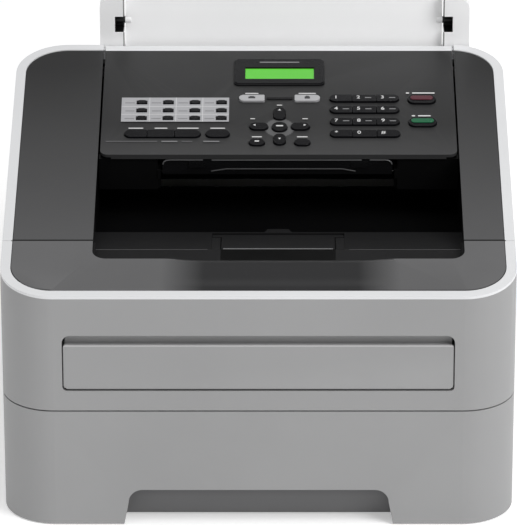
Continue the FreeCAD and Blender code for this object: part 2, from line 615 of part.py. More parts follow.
def make_document_support():
    """White sheet support that leans back between the ears."""
    depth, z = SUPPORT_PIVOT
    low = SUPPORT_BOTTOM_Z - z
    high = (HEIGHT - z) / math.cos(math.radians(SUPPORT_LEAN))
    face = outline((SUPPORT_LEFT, SUPPORT_RIGHT), (low, high), (0.5, 0.5, 10.0, 10.0))
    face.rotate(FreeCAD.Vector(0, 0, 0), FreeCAD.Vector(1, 0, 0), 90)
    plate = face.extrude(FreeCAD.Vector(0, SUPPORT_THICKNESS, 0))
    plate.translate(FreeCAD.Vector(0, -SUPPORT_THICKNESS / 2, 0))
    plate.rotate(FreeCAD.Vector(0, 0, 0), FreeCAD.Vector(1, 0, 0), -SUPPORT_LEAN)
    plate.translate(FreeCAD.Vector(0, back(depth), z))
    plate = plate.cut(deep_box((-200, 200), (300, 400), (HEIGHT, HEIGHT + 9)))
    pins = [rod((-113.0, SUPPORT_LEFT + 4), back(depth), z, 2.5),
            rod((SUPPORT_RIGHT - 4, 149.6), back(depth), z, 2.5)]
    piece("document_support", fuse([plate] + pins))


# Keys: left and right edge from the panel's centre line, front and back edge
# along the slope, then the radius of the left and of the right end.
DIAL_ROWS = (263.0, 247.2, 230.5, 213.8)
DIAL_EDGES = (38.0, 54.8, 72.8, 89.8)
DIAL_NAMES = (
    ("dial_1", "dial_2", "dial_3"),
    ("dial_4", "dial_5", "dial_6"),
    ("dial_7", "dial_8", "dial_9"),
    ("dial_star", "dial_0", "dial_hash"),
)
DIAL_DEPTH = 9.0
FUNCTION_EDGES = (-117.3 + 2.8, -97.7, -77.3, -58.0)
FUNCTION_NAMES = ("key_hook", "key_redial", "key_resolution")
FUNCTION_DEPTH = (209.0, 218.7)
ONE_TOUCH_X = (-102.4, -82.6, -62.7, -42.9)
ONE_TOUCH_ROWS = (257.8, 246.5, 235.8)
ONE_TOUCH_SIZE = (7.4, 4.6)
SINGLE_KEYS = {
    "key_options": (-54.3, -36.5, 209.0, 218.7, 4.6, 4.6),
    "mode_fax": (-29.9, -10.7, 259.2, 267.6, 4.0, 1.0),
    "mode_copy": (11.7, 30.8, 259.2, 267.6, 1.0, 4.0),
    "nav_up": (-3.9, 4.9, 233.4, 249.6, 4.2, 4.2),
    "nav_down": (-3.9, 4.9, 198.8, 213.2, 4.2, 4.2),
    "nav_left": (-21.9, -8.1, 219.4, 228.6, 4.4, 4.0),
    "nav_right": (9.1, 22.9, 219.4, 228.6, 4.0, 4.4),
    "key_ok": (-5.1, 6.1, 217.0, 229.4, 5.4, 5.4),
    "key_clear": (-22.2, -10.4, 197.8, 206.2, 4.1, 4.1),
    "key_menu": (11.4, 23.2, 197.8, 206.2, 4.1, 4.1),
    "key_stop": (96.6, 117.2, 256.0, 267.6, 5.0, 5.0),
    "key_start": (96.6, 117.2, 224.0, 235.6, 5.0, 5.0),
}
BEZEL = (-34.0, 34.5, 282.0, 319.0)
LCD = (-25.3, 26.4, 289.7, 305.4)


def key_outline(key, grow_x, grow_y):
    """Key face, grown by a margin to the sides and to front and back."""
    x = (PANEL_X + key[0] - grow_x, PANEL_X + key[1] + grow_x)
    y = (key[2] - grow_y, key[3] + grow_y)
    left = key[4] + grow_y if key[4] > 0 else 0
    right = key[5] + grow_y if key[5] > 0 else 0
    left = min(left, (y[1] - y[0]) / 2 - 0.01)
    right = min(right, (y[1] - y[0]) / 2 - 0.01)
    return x, y, (left, right, right, left)


def key_solid(key, grow_x):
    """Key cap standing through the panel, with its foot under the panel."""
    x, y, radii = key_outline(key, 0, 0)
    cap = slug(x, y, (KEY_NECK, KEY_TOP), radii)
    x, y, radii = key_outline(key, grow_x, FOOT_RIM)
    return cap.fuse(slug(x, y, (KEY_FOOT, KEY_NECK), radii))


def key_hole(key):
    """Opening in the panel round one key or one row of keys."""
    x, y, radii = key_outline(key, KEY_GAP, KEY_GAP)
    return slug(x, y, (-9, 3), radii)


def row_keys(edges, depth, names):
    """Keys cut from one capsule: round at its two ends, split by thin lines."""
    radius = (depth[1] - depth[0]) / 2 - 0.1
    last = len(names) - 1
    keys = {}
    for index, name in enumerate(names):
        left = edges[index] + (0 if index == 0 else SEAM / 2)
        right = edges[index + 1] - (0 if index == last else SEAM / 2)
        left_end = radius if index == 0 else 0
        right_end = radius if index == last else 0
        keys[name] = (left, right, depth[0], depth[1], left_end, right_end)
    return keys


def row_hole(edges, depth):
    """Opening in the panel round a whole row."""
    radius = (depth[1] - depth[0]) / 2 - 0.1
    return key_hole((edges[0], edges[-1], depth[0], depth[1], radius, radius))


def dial_depth(row):
    """Front and back edge of one row of dial keys."""
    return (row - DIAL_DEPTH / 2, row + DIAL_DEPTH / 2)


def make_keys():
    """Every key on the panel, each a piece of its own but for the one-touch bank."""
    for row, names in zip(DIAL_ROWS, DIAL_NAMES):
        for name, key in row_keys(DIAL_EDGES, dial_depth(row), names).items():
            piece(name, on_top(key_solid(key, 0)))
    for name, key in row_keys(FUNCTION_EDGES, FUNCTION_DEPTH, FUNCTION_NAMES).items():
        piece(name, on_top(key_solid(key, 0)))
    for name, key in SINGLE_KEYS.items():
        piece(name, on_top(key_solid(key, FOOT_RIM)))
    bank = [on_top(key_solid(key, FOOT_RIM)) for key in one_touch_keys()]
    piece("one_touch_keys", Part.makeCompound(bank))


def one_touch_keys():
    """Faces of the twelve one-touch keys."""
    wide, deep = ONE_TOUCH_SIZE
    keys = []
    for row in ONE_TOUCH_ROWS:
        for x in ONE_TOUCH_X:
            end = deep / 2 - 0.1
            keys.append((x - wide / 2, x + wide / 2, row - deep / 2, row + deep / 2, end, end))
    return keys


def make_panel():
    """Control panel cover with its key openings, white back strip and hinge pins."""
    x = (PANEL_LEFT, PANEL_RIGHT)
    y = (PANEL_FRONT, PANEL_BACK)
    top = (-TOP_DROP - TOP_SKIN - 0.2, -TOP_DROP)
    plate = slug(x, y, top, (6.0, 6.0, 0, 0))
    nose = box((x[0] + 8, x[1] - 8), (PANEL_FRONT, PANEL_FRONT + 2), (-4.4, -1))
    sides = [box(side, (PANEL_FRONT + 8, 323), (-5.0, -1))
             for side in ((x[0], x[0] + 1.2), (x[1] - 1.2, x[1]))]
    pins = [rod((x[0] - 3.0, x[0] + 3), PANEL_HINGE[0], PANEL_HINGE[1], 1.3),
            rod((x[1] - 3, x[1] + 3.0), PANEL_HINGE[0], PANEL_HINGE[1], 1.3)]
    panel = fuse([plate, nose] + sides + pins)
    for row in DIAL_ROWS:
        panel = panel.cut(row_hole(DIAL_EDGES, dial_depth(row)))
    panel = panel.cut(row_hole(FUNCTION_EDGES, FUNCTION_DEPTH))
    for key in list(SINGLE_KEYS.values()) + one_touch_keys():
        panel = panel.cut(key_hole(key))
    panel = panel.cut(screen(LCD, 0.1, (-9, 3)))
    piece("control_panel", on_top(panel))


def screen(edges, grow, z):
    """Box on a pair of panel edges, grown by a margin."""
    x = (PANEL_X + edges[0] - grow, PANEL_X + edges[1] + grow)
    return box(x, (edges[2] - grow, edges[3] + grow), z)


def make_display():
    """Display bezel with its chamfered edge, and the window in it."""
    x = (PANEL_X + BEZEL[0], PANEL_X + BEZEL[1])
    low = slug(x, (BEZEL[2], BEZEL[3]), (-TOP_DROP, 0.6), even(4.0))
    step = slug((x[0] + 1, x[1] - 1), (BEZEL[2] + 1, BEZEL[3] - 1), (0.6, 1.4), even(3.4))
    bezel = low.fuse(step).cut(screen(LCD, 0.1, (-2, 3)))
    piece("lcd_bezel", on_top(bezel))
    piece("lcd_window", on_top(screen(LCD, 0, (-2.6, 0.4))))


def build():
    """Make every piece and write its STEP file."""
    make_base_frame()
    make_feet()
    make_side_covers()
    make_top_rim()
    make_top_cover()
    make_output_tray()
    make_output_flap()
    make_front_cover()
    make_front_rim()
    make_front_lip()
    make_manual_feed_flap()
    make_paper_tray()
    make_tray_fittings()
    make_rollers()
    make_print_unit()
    make_rear_cover()
    make_electronics()
    make_scanner_base()
    make_document_flap()
    make_document_tray()
    make_document_support()
    make_panel()
    make_keys()
    make_display()
    os.makedirs("parts", exist_ok=True)
    for node, shape in PIECES.items():
        shape.exportStep(os.path.join("parts", node + ".step"))


build()
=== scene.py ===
"""Looks of a desktop laser fax machine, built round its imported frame. Metres."""
import bpy
import bmesh
import math
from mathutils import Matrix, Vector


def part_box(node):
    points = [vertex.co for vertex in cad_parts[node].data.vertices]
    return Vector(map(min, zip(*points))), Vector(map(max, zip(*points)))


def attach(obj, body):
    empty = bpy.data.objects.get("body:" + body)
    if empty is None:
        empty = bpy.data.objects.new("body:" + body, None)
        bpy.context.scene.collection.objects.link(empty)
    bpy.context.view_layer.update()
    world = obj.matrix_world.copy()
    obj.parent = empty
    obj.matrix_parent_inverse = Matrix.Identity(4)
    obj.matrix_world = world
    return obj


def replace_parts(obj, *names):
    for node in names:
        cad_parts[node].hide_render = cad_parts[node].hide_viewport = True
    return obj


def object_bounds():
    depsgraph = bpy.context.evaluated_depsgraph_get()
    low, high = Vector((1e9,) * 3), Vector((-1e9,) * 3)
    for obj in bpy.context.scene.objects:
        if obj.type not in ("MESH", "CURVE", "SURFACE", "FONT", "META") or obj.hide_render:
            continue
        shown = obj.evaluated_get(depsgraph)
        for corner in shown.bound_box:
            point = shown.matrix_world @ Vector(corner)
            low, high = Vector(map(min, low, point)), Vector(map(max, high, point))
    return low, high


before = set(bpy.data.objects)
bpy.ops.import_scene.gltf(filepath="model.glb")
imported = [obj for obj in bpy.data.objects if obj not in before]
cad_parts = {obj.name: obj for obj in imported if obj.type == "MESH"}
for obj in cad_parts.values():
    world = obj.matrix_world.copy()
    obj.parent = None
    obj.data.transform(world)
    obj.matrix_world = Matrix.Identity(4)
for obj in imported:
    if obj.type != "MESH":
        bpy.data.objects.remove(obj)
cad_low, cad_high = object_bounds()


# Moulded housing: grey side covers, hinged front cover, paper tray and feed flap.
# Grained plastic with softened edges. The tray's grip is painted darker inside, darkest in its upper part,
# as painted shade in the recess; the flap has painted shadow along its sides and foot and a painted
# highlight along its top.
SLOPE = math.radians(9.5)
TOP_FRONT_Z = 0.181
WELD_REACH = 0.00001
CREASE = math.radians(32)


class Wire:
    """A shader output that takes part in plain arithmetic."""

    def __init__(self, look, socket):
        self.look = look
        self.socket = socket

    def maths(self, operation, first, second):
        return self.look.node("Math", {"operation": operation}, {0: first, 1: second})

    def __add__(self, other):
        return self.maths("ADD", self, other)

    def __radd__(self, other):
        return self.maths("ADD", other, self)

    def __sub__(self, other):
        return self.maths("SUBTRACT", self, other)

    def __rsub__(self, other):
        return self.maths("SUBTRACT", other, self)

    def __mul__(self, other):
        return self.maths("MULTIPLY", self, other)

    def clamped(self):
        return self.look.node("Clamp", {}, {"Value": self})


class Look:
    """One material: node() adds any node, shade() feeds the surface shader."""

    def __init__(self, name):
        self.material = bpy.data.materials.new(name)
        self.material.use_nodes = True
        self.nodes = self.material.node_tree.nodes
        self.links = self.material.node_tree.links
        self.surface = self.nodes["Principled BSDF"]

    def node(self, kind, settings, inputs, output=0):
        made = self.nodes.new("ShaderNode" + kind)
        for key, value in settings.items():
            if key == "stops":
                self.set_stops(made.color_ramp, value)
            else:
                setattr(made, key, value)
        for key, value in inputs.items():
            self.feed(made.inputs[key], value)
        return Wire(self, made.outputs[output])

    def set_stops(self, ramp, stops):
        while len(ramp.elements) < len(stops):
            ramp.elements.new(0.5)
        for element, (place, shade) in zip(ramp.elements, stops):
            element.position = place
            element.color = (shade, shade, shade, 1.0)

    def feed(self, socket, value):
        if isinstance(value, Wire):
            self.links.new(value.socket, socket)
        else:
            socket.default_value = value

    def shade(self, inputs):
        for key, value in inputs.items():
            self.feed(self.surface.inputs[key], value)

    def place(self):
        return self.node("TexCoord", {}, {}, "Object")

    def noise(self, scale, detail=2.0, roughness=0.5):
        values = {"Vector": self.place(), "Scale": scale, "Detail": detail, "Roughness": roughness}
        return self.node("TexNoise", {}, values)

    def ramp(self, wire, stops):
        return self.node("ValToRGB", {"stops": stops}, {"Fac": wire})

    def mix(self, factor, first, second):
        made = self.nodes.new("ShaderNodeMix")
        made.data_type = "RGBA"
        self.feed(made.inputs[0], factor)
        self.feed(made.inputs[6], first)
        self.feed(made.inputs[7], second)
        return Wire(self, made.outputs[2])

    def inside(self, spans, blur=0.0001):
        """One within (axis, low, high) spans in metres, nought outside.

        Axis 3 is the height above the plane of the sloping top.
        """
        parts = self.nodes.new("ShaderNodeSeparateXYZ")
        self.links.new(self.place().socket, parts.inputs[0])
        axes = [Wire(self, output) for output in parts.outputs]
        axes.append((axes[2] - TOP_FRONT_Z) * math.cos(SLOPE) - (axes[1] - cad_low.y) * math.sin(SLOPE))
        held = 1.0
        for axis, low, high in spans:
            along = axes[axis]
            after = ((along - low) * (1.0 / blur)).clamped()
            before = ((high - along) * (1.0 / blur)).clamped()
            held = after * before * held
        return held

    def bump(self, height, strength, distance):
        values = {"Height": height, "Strength": strength, "Distance": distance}
        return self.node("Bump", {}, values)


def tint(colour, factor):
    """A colour made lighter or darker, with its alpha."""
    return tuple(min(1.0, channel * factor) for channel in colour[:3]) + (1.0,)


def moulded(name, colour, gloss, grain, mottle=0.06, worn=1.25, areas=(), shine=0.5):
    """Moulded plastic: grain size in metres, faint flow mottling, rubbed edges.

    Areas are (colour, spans, blur): patches of another colour, used for real colours and for painted
    shade, shadow, sheen and highlight.
    """
    look = Look(name)
    fine = look.noise(1.0 / grain, 3.0, 0.6)
    flow = look.noise(9.0, 4.0, 0.55)
    dust = look.noise(46.0, 5.0, 0.62)
    sunk = look.ramp(flow, ((0.32, 0.0), (0.68, 1.0)))
    body = look.mix(sunk, tint(colour, 1.0 - mottle), tint(colour, 1.0 + mottle))
    specks = look.ramp(dust, ((0.60, 0.0), (0.76, 1.0)))
    body = look.mix(specks * 0.16, body, tint(colour, 1.0 + 3.0 * mottle))
    edge = look.node("NewGeometry", {}, {}, "Pointiness")
    rubbed = look.ramp(edge, ((0.515, 0.0), (0.60, 1.0)))
    body = look.mix(rubbed * (flow * 0.7), body, tint(colour, worn))
    for other, spans, blur in areas:
        patch = look.mix(sunk, tint(other, 1.0 - mottle), tint(other, 1.0 + mottle))
        body = look.mix(look.inside(spans, blur), body, patch)
    rough = gloss + (flow - 0.5) * 0.16 + (dust - 0.5) * 0.10 - rubbed * 0.06
    height = fine * 0.75 + flow * 0.25
    look.shade({
        "Base Color": body,
        "Roughness": rough.clamped(),
        "Normal": look.bump(height, 0.22, grain * 0.35),
        "Specular IOR Level": shine,
    })
    return look.material


def dress(node, material, soften=0.0004):
    """Give a CAD piece its material, and its tooled edges a small radius."""
    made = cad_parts[node]
    made.data.materials.clear()
    made.data.materials.append(material)
    if soften > 0:
        weld = made.modifiers.new("weld", "WELD")
        weld.merge_threshold = WELD_REACH
        flat = made.modifiers.new("flat", "DECIMATE")
        flat.decimate_type = "DISSOLVE"
        flat.angle_limit = math.radians(0.5)
        edge = made.modifiers.new("edge", "BEVEL")
        edge.width = soften
        edge.segments = 2
        edge.limit_method = "ANGLE"
        edge.angle_limit = CREASE
        edge.use_clamp_overlap = True
        even = made.modifiers.new("even", "WEIGHTED_NORMAL")
        even.keep_sharp = True
        even.weight = 80
    return made


SHELL_GREY = (0.284, 0.284, 0.286)
GRIP_SHADE_GREY = (0.135, 0.135, 0.138)
GRIP_SHADE = (0.022, 0.022, 0.023)
shell_grey = moulded("shell_grey", SHELL_GREY, 0.46, 0.0007, 0.03, 1.15)
for shell in ("side_cover_left", "side_cover_right", "front_cover"):
    dress(shell, shell_grey, 0.0005)
# Painted shade: the grip's inside is painted darker, and darker still above its lowest part.
grip_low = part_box("paper_tray")[0]
grip_dark = (0, -0.0975, 0.0975), (1, grip_low.y + 0.0042, grip_low.y + 0.035)
tray_grey = moulded("tray_grey", SHELL_GREY, 0.46, 0.0007, 0.03, 1.15, areas=[
    (GRIP_SHADE_GREY, grip_dark + ((2, -0.001, 0.045),), 0.0015),
    (GRIP_SHADE, grip_dark + ((2, 0.0135, 0.200),), 0.017)])
dress("paper_tray", tray_grey, 0.0005)
feed_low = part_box("manual_feed_flap")[0]
# Painted shadow along the flap's sides and foot, and a painted highlight as the pale line along its top
# edge.
EDGE_SHADOW = (0.020, 0.020, 0.021)
flap_face = (1, -0.2, feed_low.y + 0.0019)
flap_grey = moulded("flap_grey", SHELL_GREY, 0.46, 0.0007, 0.03, 1.15, areas=[
    (EDGE_SHADOW, ((0, -0.2, -0.1384), (2, 0.0, 0.1420)), 0.0003),
    (EDGE_SHADOW, ((0, 0.1384, 0.2), (2, 0.0, 0.1420)), 0.0003),
    (EDGE_SHADOW, ((2, 0.0, 0.1086), flap_face), 0.0003),
    ((0.46, 0.46, 0.46), ((2, 0.1417, 0.1428), flap_face), 0.0002)])
dress("manual_feed_flap", flap_grey, 0.0009)


# Chassis, feet and the parts out of sight: black polymer frame, rubber feet,
# print unit, rollers, lift plate and boards. The rear ends of the boards, where
# the sockets are, are painted black.
def brushed(name, colour, gloss, across):
    """Drawn or turned metal, with fine lines at right angles to an axis."""
    look = Look(name)
    stretch = [700.0, 700.0, 700.0]
    stretch[across] = 12.0
    spread = look.node("Mapping", {}, {"Vector": look.place(), "Scale": stretch})
    lines = look.node("TexNoise", {}, {"Vector": spread, "Scale": 1.0, "Detail": 4.0})
    stain = look.noise(30.0, 4.0)
    body = look.mix(lines, tint(colour, 0.82), tint(colour, 1.12))
    body = look.mix(look.ramp(stain, ((0.5, 0.0), (0.75, 1.0))) * 0.3, body, tint(colour, 0.7))
    look.shade({
        "Base Color": body,
        "Metallic": 1.0,
        "Roughness": gloss + (lines - 0.5) * 0.25 + (stain - 0.5) * 0.1,
        "Normal": look.bump(lines, 0.15, 0.0001),
    })
    return look.material


chassis_black = moulded("chassis_black", (0.060, 0.061, 0.063), 0.55, 0.0009, 0.08, 1.3)
rubber_black = moulded("rubber_black", (0.022, 0.022, 0.023), 0.78, 0.0005, 0.12, 1.5)
drum_black = moulded("drum_black", (0.03, 0.03, 0.033), 0.5, 0.0008, 0.08, 1.3)
laser_grey = moulded("laser_grey", (0.15, 0.155, 0.16), 0.5, 0.0010, 0.06, 1.2)
guide_green = moulded("guide_green", (0.10, 0.27, 0.15), 0.45, 0.0008, 0.06, 1.2)
socket_end = (((0.016, 0.016, 0.017), ((1, 0.1385, 0.2),), 0.0004),)
board_green = moulded("board_green", (0.02, 0.15, 0.06), 0.42, 0.0016, 0.25, 1.3, areas=socket_end)
plate_steel = brushed("plate_steel", (0.58, 0.59, 0.60), 0.34, 0)
fuser_steel = brushed("fuser_steel", (0.50, 0.46, 0.42), 0.30, 0)
INNER_FINISHES = {
    "base_frame": chassis_black, "feet": rubber_black, "pickup_roller": rubber_black,
    "document_roller": rubber_black, "drum_unit": drum_black, "toner_cartridge": drum_black,
    "laser_unit": laser_grey, "side_guide_left": guide_green, "side_guide_right": guide_green,
    "main_board": board_green, "power_supply": board_green, "lift_plate": plate_steel,
    "fuser_roller": fuser_steel,
}
for inner, finish in INNER_FINISHES.items():
    dress(inner, finish, 0.0003)


# White trim: the rim round the top, the rear cover, the document tray and its sheet support. The same
# grained plastic in a cool white. Along the seams a painted shade line widens the real gaps, and the
# sockets in the ears, with the support's ends that sit in them, are painted black as painted shade.
TRIM_WHITE = (0.69, 0.695, 0.705)
trim_white = moulded("trim_white", TRIM_WHITE, 0.42, 0.0007, 0.015, 1.04)
dress("rear_cover", trim_white, 0.0006)
# Painted shade: a dark line along the seams, wider than the real gaps.
SEAM_SHADE = (0.12, 0.12, 0.12)
seam_y = (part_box("front_rim")[1].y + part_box("top_rim")[0].y) / 2
rim_white = moulded("rim_white", TRIM_WHITE, 0.42, 0.0007, 0.015, 1.04, areas=[
    (SEAM_SHADE, ((1, seam_y - 0.0009, seam_y + 0.0009), (0, -0.1775, 0.1775)), 0.0002)])
dress("top_rim", rim_white, 0.0)
dress("front_rim", rim_white, 0.0)
SHEET_WHITE = (0.92, 0.92, 0.925)
# Painted shade: the ear sockets, and the support's ends that sit in them, are painted black.
SOCKET_SHADE = (0.004, 0.004, 0.004)
pocket_depth = (1, 0.1574, 0.1755)
pocket_height = (2, 0.2430, 0.2640)
sheet_white = moulded("sheet_white", SHEET_WHITE, 0.45, 0.0007, 0.015, 1.03, areas=[
    (SOCKET_SHADE, ((0, -0.2, -0.1026),), 0.0002), (SOCKET_SHADE, ((0, 0.1391, 0.2),), 0.0002)])
dress("document_support", sheet_white, 0.0009)
ear_height = (2, 0.2285, 0.276)
ear_edge = (1, 0.150, 0.1576)
ear_white = moulded("ear_white", SHEET_WHITE, 0.42, 0.0007, 0.015, 1.04, areas=[
    (SEAM_SHADE, ((0, -0.1041, -0.1000), ear_edge, ear_height), 0.0002),
    (SEAM_SHADE, ((0, 0.1365, 0.1406), ear_edge, ear_height), 0.0002),
    (SOCKET_SHADE, ((0, -0.1160, -0.1036), pocket_depth, pocket_height), 0.0002),
    (SOCKET_SHADE, ((0, 0.1401, 0.1530), pocket_depth, pocket_height), 0.0002)])
dress("document_tray", ear_white, 0.0006)


# Dark top: the panels beside the recess and the lip in front of it. The panels carry a painted sheen that
# makes them paler towards the front. The lip is painted paler with the same painted sheen, and its shallow
# hollow, cut into its mesh, is painted darker as painted shade.
CHARCOAL = (0.020, 0.020, 0.0205)
GAP_SHADE = (0.0025, 0.0025, 0.0025)
# Painted sheen: the top panels painted paler towards the front.
front_sheen = ((1, -0.500, 0.125),)
# Painted shade: faces below the top face, and the seam at the panels' front edge, are painted black.
below_top = ((3, -0.030, -0.0009),)
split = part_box("top_cover")[0].y
top_charcoal = moulded("top_charcoal", CHARCOAL, 0.44, 0.0006, 0.04, 1.35, areas=[
    ((0.090, 0.090, 0.092), front_sheen, 0.265), (GAP_SHADE, below_top, 0.0002),
    (GAP_SHADE, ((1, split - 0.001, split + 0.0007),), 0.0002)], shine=0.3)
dress("top_cover", top_charcoal, 0.0005)
lip_low, lip_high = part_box("front_lip")
scoop = ((0, -0.069, 0.101),)
below_dish = ((3, -0.030, -0.0024),)
# Painted sheen and shade: the lip's pale colour is painted sheen, its hollow is painted darker as painted
# shade, and its faces below the hollow and at the seam are painted black as painted shade.
lip_charcoal = moulded("lip_charcoal", (0.108, 0.108, 0.110), 0.44, 0.0006, 0.04, 1.35, areas=[
    ((0.015, 0.015, 0.016), scoop, 0.030), (GAP_SHADE, below_dish, 0.0002),
    (GAP_SHADE, ((1, split - 0.0012, split + 0.001),), 0.0002)], shine=0.3)


def smooth(value):
    """Nought to one with level ends."""
    held = min(1.0, max(0.0, value))
    return held * held * (3 - 2 * held)


SCOOP_DEPTH = 0.0015
SCOOP_FADE = 0.030
SCOOP_CLEAR = 0.00005
LIP_DROP = 0.0005
SCOOP_FRONT, SCOOP_REAR = 0.012, 0.060
SCOOP_RISE = 0.014
CUTTER_TOP = 0.004


def scoop_cutter():
    """Closed solid whose underside is the hollow pressed into the lip."""
    left, right = scoop[0][1:]
    across, along = 56, 14
    mesh = bmesh.new()
    layers = []
    for top in (False, True):
        rows = []
        for j in range(along + 1):
            run = SCOOP_FRONT + (SCOOP_REAR - SCOOP_FRONT) * j / along
            row = []
            for i in range(across + 1):
                x = left + (right - left) * i / across
                ends = smooth((x - left) / SCOOP_FADE) * smooth((right - x) / SCOOP_FADE)
                sunk = ends * smooth((run - SCOOP_FRONT) / SCOOP_RISE)
                height = CUTTER_TOP if top else SCOOP_CLEAR - LIP_DROP - (SCOOP_DEPTH + SCOOP_CLEAR) * sunk
                y = cad_low.y + run * math.cos(SLOPE) - height * math.sin(SLOPE)
                z = TOP_FRONT_Z + run * math.sin(SLOPE) + height * math.cos(SLOPE)
                row.append(mesh.verts.new((x, y, z)))
            rows.append(row)
        layers.append(rows)
    for rows in layers:
        for near, far in zip(rows, rows[1:]):
            for index in range(across):
                mesh.faces.new((near[index], near[index + 1], far[index + 1], far[index]))
    under, over = layers
    loops = []
    for rows in (under, over):
        rim = list(rows[0]) + [row[-1] for row in rows[1:]] + list(rows[-1][-2::-1])
        loops.append(rim + [row[0] for row in rows[-2:0:-1]])
    for index in range(len(loops[0])):
        after = (index + 1) % len(loops[0])
        mesh.faces.new((loops[0][index], loops[0][after], loops[1][after], loops[1][index]))
    bmesh.ops.recalc_face_normals(mesh, faces=mesh.faces)
    data = bpy.data.meshes.new("scoop_cutter")
    mesh.to_mesh(data)
    mesh.free()
    made = bpy.data.objects.new("scoop_cutter", data)
    bpy.context.collection.objects.link(made)
    return made


cutter = scoop_cutter()
lip = bpy.data.objects.new("lip_scooped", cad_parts["front_lip"].data.copy())
bpy.context.collection.objects.link(lip)
joined = lip.modifiers.new("weld", "WELD")
joined.merge_threshold = WELD_REACH
pressed = lip.modifiers.new("scoop", "BOOLEAN")
pressed.operation = "DIFFERENCE"
pressed.solver = "EXACT"
pressed.object = cutter
bpy.context.view_layer.update()
shaped = bpy.data.meshes.new_from_object(lip.evaluated_get(bpy.context.evaluated_depsgraph_get()))
lip.modifiers.clear()
lip.data = shaped
bpy.data.objects.remove(cutter)
shaped.materials.clear()
shaped.materials.append(lip_charcoal)
shaped.shade_smooth()
shaped.set_sharp_from_angle(angle=CREASE)
even = lip.modifiers.new("even", "WEIGHTED_NORMAL")
even.keep_sharp = True
even.weight = 100
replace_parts(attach(lip, "front_door"), "front_lip")


# Output recess: black sloping tray for printed pages, the flap that stops them, and the scanner base above
# it with its exit flap. The tray's floor is painted darker than its front band as painted shade in the
# deep recess, and the finger gap in front of the flap is a near-black patch of painted shade.
BAND_BLACK = (0.013, 0.013, 0.0135)
front_band = ((1, -0.140, -0.0545),)
# Painted shade: a near-black patch for the finger gap in front of the flap.
finger_gap_shade = ((0, -0.0275, 0.0555), (1, -0.1295, -0.1045))
# Painted shade: the floor is darker than its front band.
tray_black = moulded("tray_black", (0.0025, 0.0025, 0.0027), 0.5, 0.0008, 0.10, 1.6, areas=[
    (BAND_BLACK, front_band, 0.001), ((0.0003, 0.0003, 0.0003), finger_gap_shade, 0.0003)], shine=0.04)
dress("output_tray", tray_black, 0.0004)
recess_black = moulded("recess_black", (0.004, 0.004, 0.0042), 0.45, 0.0008, 0.10, 1.6, shine=0.2)
dress("scanner_base", recess_black, 0.0004)
flap_black = moulded("flap_black", BAND_BLACK, 0.50, 0.0007, 0.08, 1.4, shine=0.05)
dress("output_flap", flap_black, 0.0006)
exit_black = moulded("exit_black", (0.006, 0.006, 0.0065), 0.30, 0.0007, 0.08, 1.8, shine=0.3)
dress("document_output_flap", exit_black, 0.0006)


# Control panel: dark grey cover with the display bezel and the keys. The white strip at its rear and the
# paler disc round the OK key are painted on, with a painted shadow line in front of the strip and a
# painted sheen that makes the cover paler towards the front.
PANEL_MIDDLE = 14.5


def top_point(across, up, above=0.0):
    """A point on the sloping top, from millimetres across, up it and above it."""
    run = up * math.cos(SLOPE) - above * math.sin(SLOPE)
    rise = up * math.sin(SLOPE) + above * math.cos(SLOPE)
    return Vector((across * 0.001, cad_low.y + run * 0.001, TOP_FRONT_Z + rise * 0.001))


def panel_point(across, up, above=0.0):
    """A point on the control panel, measured from its middle line."""
    return top_point(across + PANEL_MIDDLE, up, above)


def panel_spans(left, right, near, far):
    """Object-space spans of a rectangle printed on the panel."""
    low = panel_point(left, near)
    high = panel_point(right, far)
    return ((0, low.x, high.x), (1, low.y, high.y))


PANEL_GREY = (0.020, 0.020, 0.0205)
WHITE_STRIP = panel_spans(-140, 140, 332.6, 345)
STRIP_SHADOW = panel_spans(-140, 140, 331.6, 332.6)
DISC_GREY = (0.105, 0.105, 0.107)
DISC_ACROSS, DISC_UP = 0.5, 223.4
DISC_REACH, DISC_HALF, DISC_MARGIN = 11.6, 12.6, 0.8
disc_areas = []
for step in range(9):
    reach = math.sin(math.radians(90 - 10 * step))
    half = DISC_HALF * math.cos(math.radians(90 - 10 * step))
    disc_areas.append((DISC_GREY, panel_spans(
        DISC_ACROSS - DISC_REACH * reach, DISC_ACROSS + DISC_REACH * reach,
        DISC_UP - half - DISC_MARGIN, DISC_UP + half + DISC_MARGIN), 0.0006))
# Painted sheen: the cover painted paler towards its front.
panel_front_sheen = (((0.052, 0.052, 0.053), ((1, -0.2, 0.045),), 0.055),)
panel_dark = moulded("panel_dark", PANEL_GREY, 0.44, 0.0006, 0.04, 1.3, areas=[*panel_front_sheen, *disc_areas,
    (GAP_SHADE, STRIP_SHADOW, 0.0002),
    (TRIM_WHITE, WHITE_STRIP, 0.0002)], shine=0.3)
dress("control_panel", panel_dark, 0.0004)
bezel_black = moulded("bezel_black", (0.003, 0.003, 0.004), 0.30, 0.0009, 0.10, 1.8, shine=0.15)
dress("lcd_bezel", bezel_black, 0.0005)
key_black = moulded("key_black", (0.004, 0.004, 0.005), 0.26, 0.0006, 0.10, 1.8, shine=0.16)
key_pale = moulded("key_pale", (0.40, 0.40, 0.41), 0.38, 0.0006, 0.03, 1.1)
key_maroon = moulded("key_maroon", (0.075, 0.006, 0.016), 0.30, 0.0006, 0.08, 1.4)
key_green = moulded("key_green", (0.002, 0.105, 0.040), 0.30, 0.0006, 0.08, 1.4)
BLACK_KEYS = ["dial_" + mark for mark in "1 2 3 4 5 6 7 8 9 0 star hash".split()]
BLACK_KEYS += ["nav_" + way for way in ("up", "down", "left", "right")]
BLACK_KEYS += ["key_" + duty for duty in "hook redial resolution options ok clear menu".split()]
BLACK_KEYS += ["key_stop", "key_start", "one_touch_keys"]
for key in BLACK_KEYS:
    dress(key, key_black, 0.0006)
dress("mode_fax", key_pale, 0.0005)
dress("mode_copy", key_pale, 0.0005)


